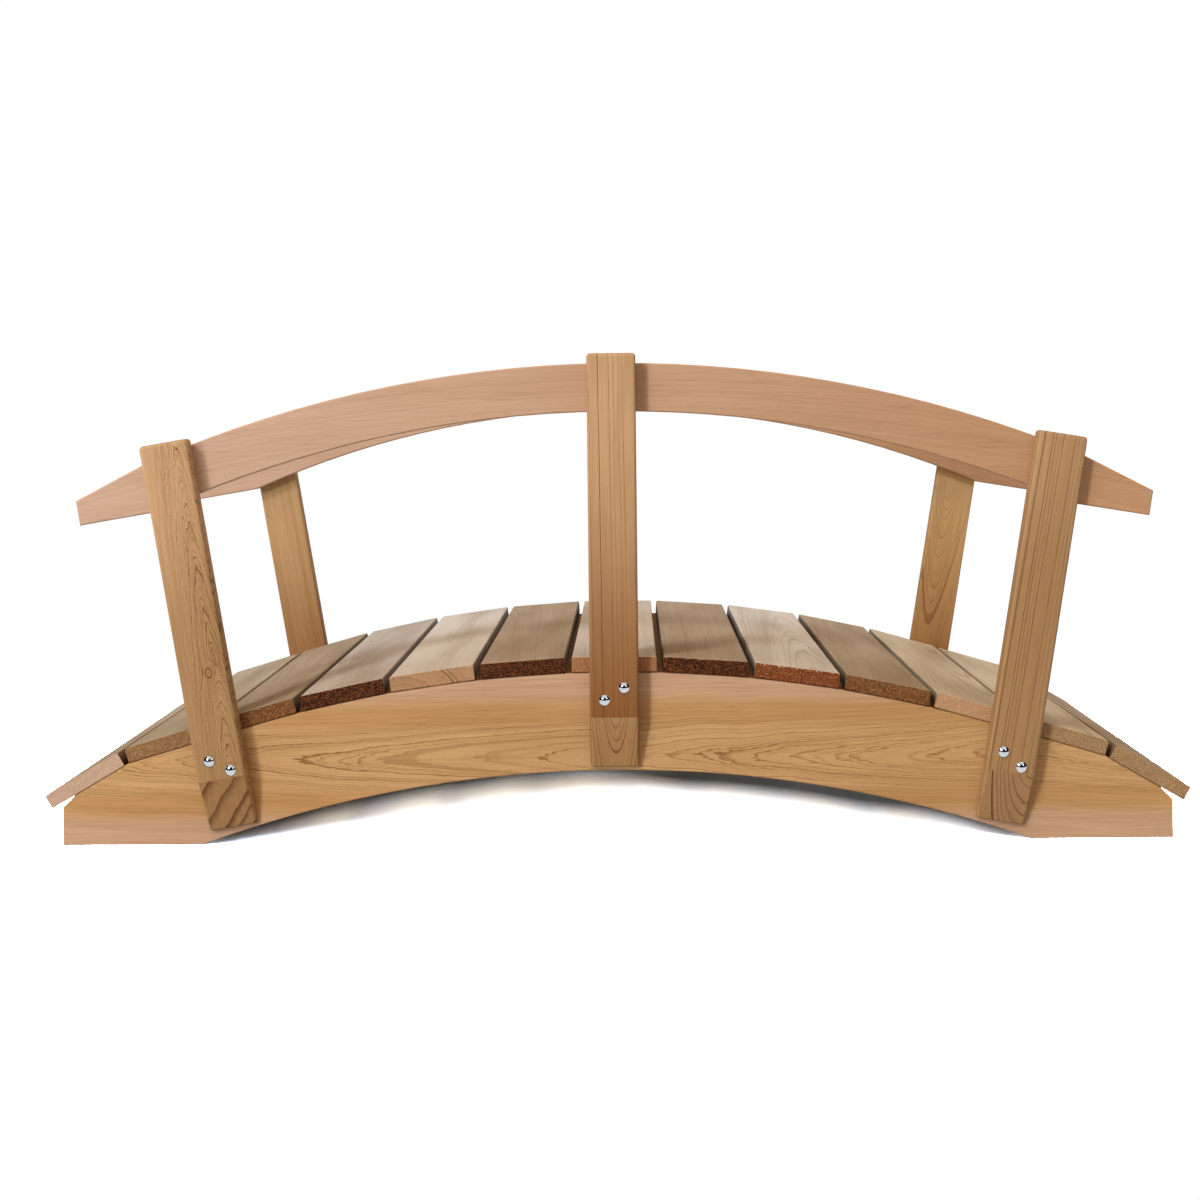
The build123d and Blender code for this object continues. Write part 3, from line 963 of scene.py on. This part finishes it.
# %% The rail screws
SCREW_SIZES = {"Head Width": 8.5 * MM, "Head Rise": 1.7 * MM, "Head Rim": 1.0 * MM, "Cross Reach": 2.6 * MM,
               "Cross Depth": 1.3 * MM, "Cross Half": 0.3 * MM}
SCREW_SIDES, SCREW_CIRCLES, SCREW_SPIN_SEED, ABOVE_RIM_SHARE = 32, 10, 9, 1.01
SCREW_DROP, SCREW_ACROSS, SCREW_ALONG = 57.0 * MM, 30.0 * MM, 24.0 * MM
screw_tree, size, screws_out = fastener_tree("rail_screws", SCREW_SIZES)
pan = domed(screw_tree, size, SCREW_SIDES, SCREW_CIRCLES)
at = from_axis(screw_tree)
narrow = sums("MINIMUM", sums("ABSOLUTE", at["x"]), sums("ABSOLUTE", at["y"]))
on_cross = sums("LESS_THAN", narrow, size["Cross Half"])
in_reach = sums("LESS_THAN", at["gap"], size["Cross Reach"])
on_top = sums("GREATER_THAN", at["z"], product(size["Head Rim"], ABOVE_RIM_SHARE))
pressed = product(product(on_cross, in_reach), on_top)
crossed = shaped(pan, pressed, axial(product(size["Cross Depth"], -1.0)))
screws_made = placed_on_points(screw_tree, size["Points"], (crossed,), size["Zinc"], SCREW_SPIN_SEED)
feed(screws_out, screws_made)

screw_places = []
for name in POST_NAMES:
    rail_y = side_y(name.split("_")[0] + "_rail", -outward(name))
    for way in (-1, 1):
        up = post_length(name) - SCREW_DROP + way * SCREW_ALONG / 2
        screw_places.append((on_post(name, up, way * SCREW_ACROSS / 2, rail_y), -outward(name)))
made_plain(point_cloud("rail_screws", screw_places), screw_tree, SCREW_SIZES, zinc)

# %% [markdown]
# ## Studio floor
# The set is white paper, as in a catalogue photo: the bridge stands on white with a soft shadow under its
# arch, partly real and partly painted. A real white floor would throw too much light up at the bridge and
# would show a horizon. So the camera sees paper that is bright around the bridge and glows further off,
# mirrors see plain white, and the light that bounces from the floor comes from a grey one. First comes where
# the paper is painted dim, a painted shadow that deepens the real one: inside a line that bends with the arch
# and reaches nearer on the right, and only between the feet.

# %% Where the floor has painted shadow
FLOOR_HALF = 40.0
floor_corners = [(x * FLOOR_HALF, y * FLOOR_HALF, 0) for x, y in ((-1, -1), (1, -1), (1, 1), (-1, 1))]
floor = mesh_object("studio_floor", floor_corners, [(0, 1, 2, 3)])
paper = bpy.data.materials.new("white_paper")
paper.use_nodes = True
tree = paper.node_tree
tree.nodes.clear()

ARCH_EDGE, ARCH_BEND, ARCH_CURL = 0.131, 0.85, 0.40
UNDER_X, UNDER_NEAR, UNDER_FAR = (0.64, 0.74), (-0.19, 0.02), (0.22, 0.40)
RIGHT_RISE, RIGHT_FALL, RIGHT_REACH = (-0.05, 0.15), (0.42, 0.58), 0.065
coords = add(tree, "ShaderNodeTexCoord").outputs["Object"]
floor_parts = add(tree, "ShaderNodeSeparateXYZ", {0: coords}).outputs
floor_x, floor_y = floor_parts["X"], floor_parts["Y"]
squared = product(floor_x, floor_x)
bent = product(squared, total(product(squared, ARCH_CURL), ARCH_BEND))
past_line = less(total(floor_y, bent), ARCH_EDGE)
right_part = product(between(floor_x, RIGHT_RISE, RIGHT_FALL), RIGHT_REACH)
past_line = total(past_line, right_part)
# Painted shadow: the paper is darker here, inside the line under the arch.
under = product(ramp(past_line, *UNDER_NEAR), fade(floor_y, *UNDER_FAR))
under = product(under, fade(sums("ABSOLUTE", floor_x), *UNDER_X))
print("nodes for the dim part of the floor:", len(tree.nodes))

# %% [markdown]
# Then the paper itself. Its colour makes up for the cool and warm lamps, so that it stays a neutral white.
# From below it is clear, so that the underside of the bridge can be looked at.

# %% White paper
FULL_PAPER, PAINTED_SHADOW_PAPER = (14.0, 16.0, 18.5, 1.0), (0.50, 0.58, 0.66, 1.0)
LEFT_CAST, RIGHT_CAST, CAST_TURN = (1.0, 1.10, 1.22, 1.0), (1.0, 0.94, 0.88, 1.0), (-0.30, 0.20)
GREY, WHITE = (0.50, 0.50, 0.50, 1.0), (1.0, 1.0, 1.0, 1.0)
PAPER_LENGTH, PAPER_DEPTH, PAPER_FADE = 1.25, 0.85, (0.8, 1.3)


def seen_directly(tree):
    """One for camera, mirror and glass rays, zero for the rest."""
    rays = add(tree, "ShaderNodeLightPath").outputs
    seen = sums("MAXIMUM", rays["Is Camera Ray"], rays["Is Glossy Ray"])
    return sums("MAXIMUM", seen, rays["Is Transmission Ray"])


def either(factor, under, over):
    """Two shaders mixed by a factor."""
    return result("ShaderNodeMixShader", {0: factor, 1: under, 2: over})


grey_paper = add(tree, "ShaderNodeBsdfDiffuse", {"Color": GREY}).outputs[0]
glow = add(tree, "ShaderNodeEmission", {"Color": WHITE}).outputs[0]
clear = add(tree, "ShaderNodeBsdfTransparent").outputs[0]
cast = tint(ramp(floor_x, *CAST_TURN), LEFT_CAST, RIGHT_CAST)
# The painted shadow dims the paper where the mask says.
shaded = tint(1.0, tint(under, FULL_PAPER, PAINTED_SHADOW_PAPER), cast, "MULTIPLY")
bright_paper = result("ShaderNodeBsdfDiffuse", {"Color": shaded})
spread = stretched(coords, (1 / PAPER_LENGTH, 1 / PAPER_DEPTH, 0.0))
far_off = add(tree, "ShaderNodeVectorMath", {0: spread}, operation="LENGTH").outputs["Value"]
backdrop = either(ramp(far_off, *PAPER_FADE), bright_paper, glow)
mirrored = either(seen_directly(tree), grey_paper, glow)
by_camera = add(tree, "ShaderNodeLightPath").outputs["Is Camera Ray"]
from_below = add(tree, "ShaderNodeNewGeometry").outputs["Backfacing"]
from_above = either(by_camera, mirrored, backdrop)
add(tree, "ShaderNodeOutputMaterial", {"Surface": either(from_below, from_above, clear)})
floor.data.materials.append(paper)
print("paper has", len(tree.nodes), "nodes")

# %% [markdown]
# ## Surround
# Around the set the camera sees plain white too. As a light the surround is weak, because light from
# everywhere would wash out the shadows that the posts throw.

# %% White surround
SURROUND = 0.12
world = bpy.data.worlds.new("white_surround")
scene.world = world
world.use_nodes = True
tree = world.node_tree
tree.nodes.clear()
strength = ramp(seen_directly(tree), 0.0, 1.0, SURROUND, 1.0)
surround = result("ShaderNodeBackground", {"Color": WHITE, "Strength": strength})
add(tree, "ShaderNodeOutputWorld", {"Surface": surround})
print("surround has", len(tree.nodes), "nodes")

# %% [markdown]
# ## Lamps
# Two soft boxes stand in front, the left one stronger. They show in the bolt heads as bright windows. Most
# light comes from distant lamps, which light near and far boards alike: a cool key and a low one from the
# left, whose shadows fall to the right of the posts, a warm fill from above, a back light for the far side,
# and a faint light that grazes the boards from the right.

# %% Soft boxes and distant lamps
BRIDGE_HEART = Vector((0.0, 0.0, 0.35))
KEY_COLOUR, FILL_COLOUR = (0.845, 0.918, 1.0), (1.0, 0.68, 0.36)


def soft_box(name, place, width, watts):
    """A square area lamp that looks at the bridge."""
    lamp = bpy.data.lights.new(name, "AREA")
    lamp.size = width
    lamp.energy = watts
    made = bpy.data.objects.new(name, lamp)
    made.location = place
    made.rotation_euler = (BRIDGE_HEART - Vector(place)).to_track_quat("-Z", "Y").to_euler()
    made.visible_camera = False
    scene.collection.objects.link(made)


def far_light(name, azimuth, elevation, spread_angle, strength, colour):
    """A distant lamp that gives near and far boards the same light; it shows in no reflection."""
    lamp = bpy.data.lights.new(name, "SUN")
    lamp.angle = math.radians(spread_angle)
    lamp.energy = strength
    lamp.color = colour
    made = bpy.data.objects.new(name, lamp)
    made.rotation_euler = (math.radians(90.0 - elevation), 0.0, math.radians(azimuth))
    made.visible_glossy = False
    scene.collection.objects.link(made)


soft_box("left_box", (-2.0, -2.2, 2.2), 1.4, 36.0)
soft_box("right_box", (2.1, -2.0, 2.2), 1.2, 8.0)
far_light("left_key", -42.0, 36.0, 9.0, 1.487, KEY_COLOUR)
far_light("low_key", -44.0, 10.0, 7.0, 1.28, KEY_COLOUR)
far_light("top_fill", 5.0, 75.0, 30.0, 1.45, FILL_COLOUR)
far_light("back_fill", 165.0, 28.0, 16.0, 1.45, PLAIN)
far_light("right_graze", 84.0, 12.0, 10.0, 0.25, PLAIN)
print("lamps:", len(bpy.data.lights))

# %% [markdown]
# A bright metal shows what stands around it. A dark wall round the set, seen only in reflections, gives the
# bolt heads the dark band between the lamps above and the white floor below.

# %% The dark wall
WALL_REACH, WALL_LOW, WALL_HIGH, WALL_SIDES = 9.0, 0.05, 12.0, 48
CLOTH_COLOUR, CLOTH_ROUGH = (0.015, 0.018, 0.024, 1.0), 0.9
turns = [math.tau * k / WALL_SIDES for k in range(WALL_SIDES)]
wall_ring = [(WALL_REACH * math.cos(turn), WALL_REACH * math.sin(turn)) for turn in turns]
wall_points = [(x, y, z) for z in (WALL_LOW, WALL_HIGH) for x, y in wall_ring]
following = [(k + 1) % WALL_SIDES for k in range(WALL_SIDES)]
wall_faces = [(k, after, WALL_SIDES + after, WALL_SIDES + k) for k, after in enumerate(following)]
wall = mesh_object("dark_wall", wall_points, wall_faces)
cloth, cloth_shader = new_material("dark_cloth")
cloth_shader.inputs["Base Color"].default_value = CLOTH_COLOUR
cloth_shader.inputs["Roughness"].default_value = CLOTH_ROUGH
wall.data.materials.append(cloth)
for ray in ("camera", "diffuse", "transmission", "volume_scatter", "shadow"):
    setattr(wall, "visible_" + ray, False)
print("dark wall has", len(wall_faces), "faces")

# %% [markdown]
# ## Camera
# The photograph was taken with a level camera a little right of the middle, at the height of the rails, then
# cropped below its centre. The values come from matching the corners of boards in the picture.

# %% Set the camera
PHOTO_SIDE = 1200
FOCAL_PIXELS = 1510.36
CENTRE_PIXEL = (612.9, 403.9)
CAMERA_PLACE = (30.96 * MM, -2842.4 * MM, 720.95 * MM)
CAMERA_TURN, CAMERA_ROLL = math.radians(0.654), math.radians(-0.6126)
lens = bpy.data.cameras.new("photo_camera")
lens.sensor_width = 36.0
lens.lens = FOCAL_PIXELS * lens.sensor_width / PHOTO_SIDE
lens.shift_x = (PHOTO_SIDE / 2 - CENTRE_PIXEL[0]) / PHOTO_SIDE
lens.shift_y = (CENTRE_PIXEL[1] - PHOTO_SIDE / 2) / PHOTO_SIDE
camera = bpy.data.objects.new("photo_camera", lens)
camera.matrix_world = (Matrix.Translation(CAMERA_PLACE) @ Matrix.Rotation(CAMERA_TURN, 4, "Z")
                       @ Matrix.Rotation(math.pi / 2, 4, "X") @ Matrix.Rotation(CAMERA_ROLL, 4, "Z"))
scene.collection.objects.link(camera)
scene.camera = camera
print("lens in millimetres:", round(lens.lens, 2))
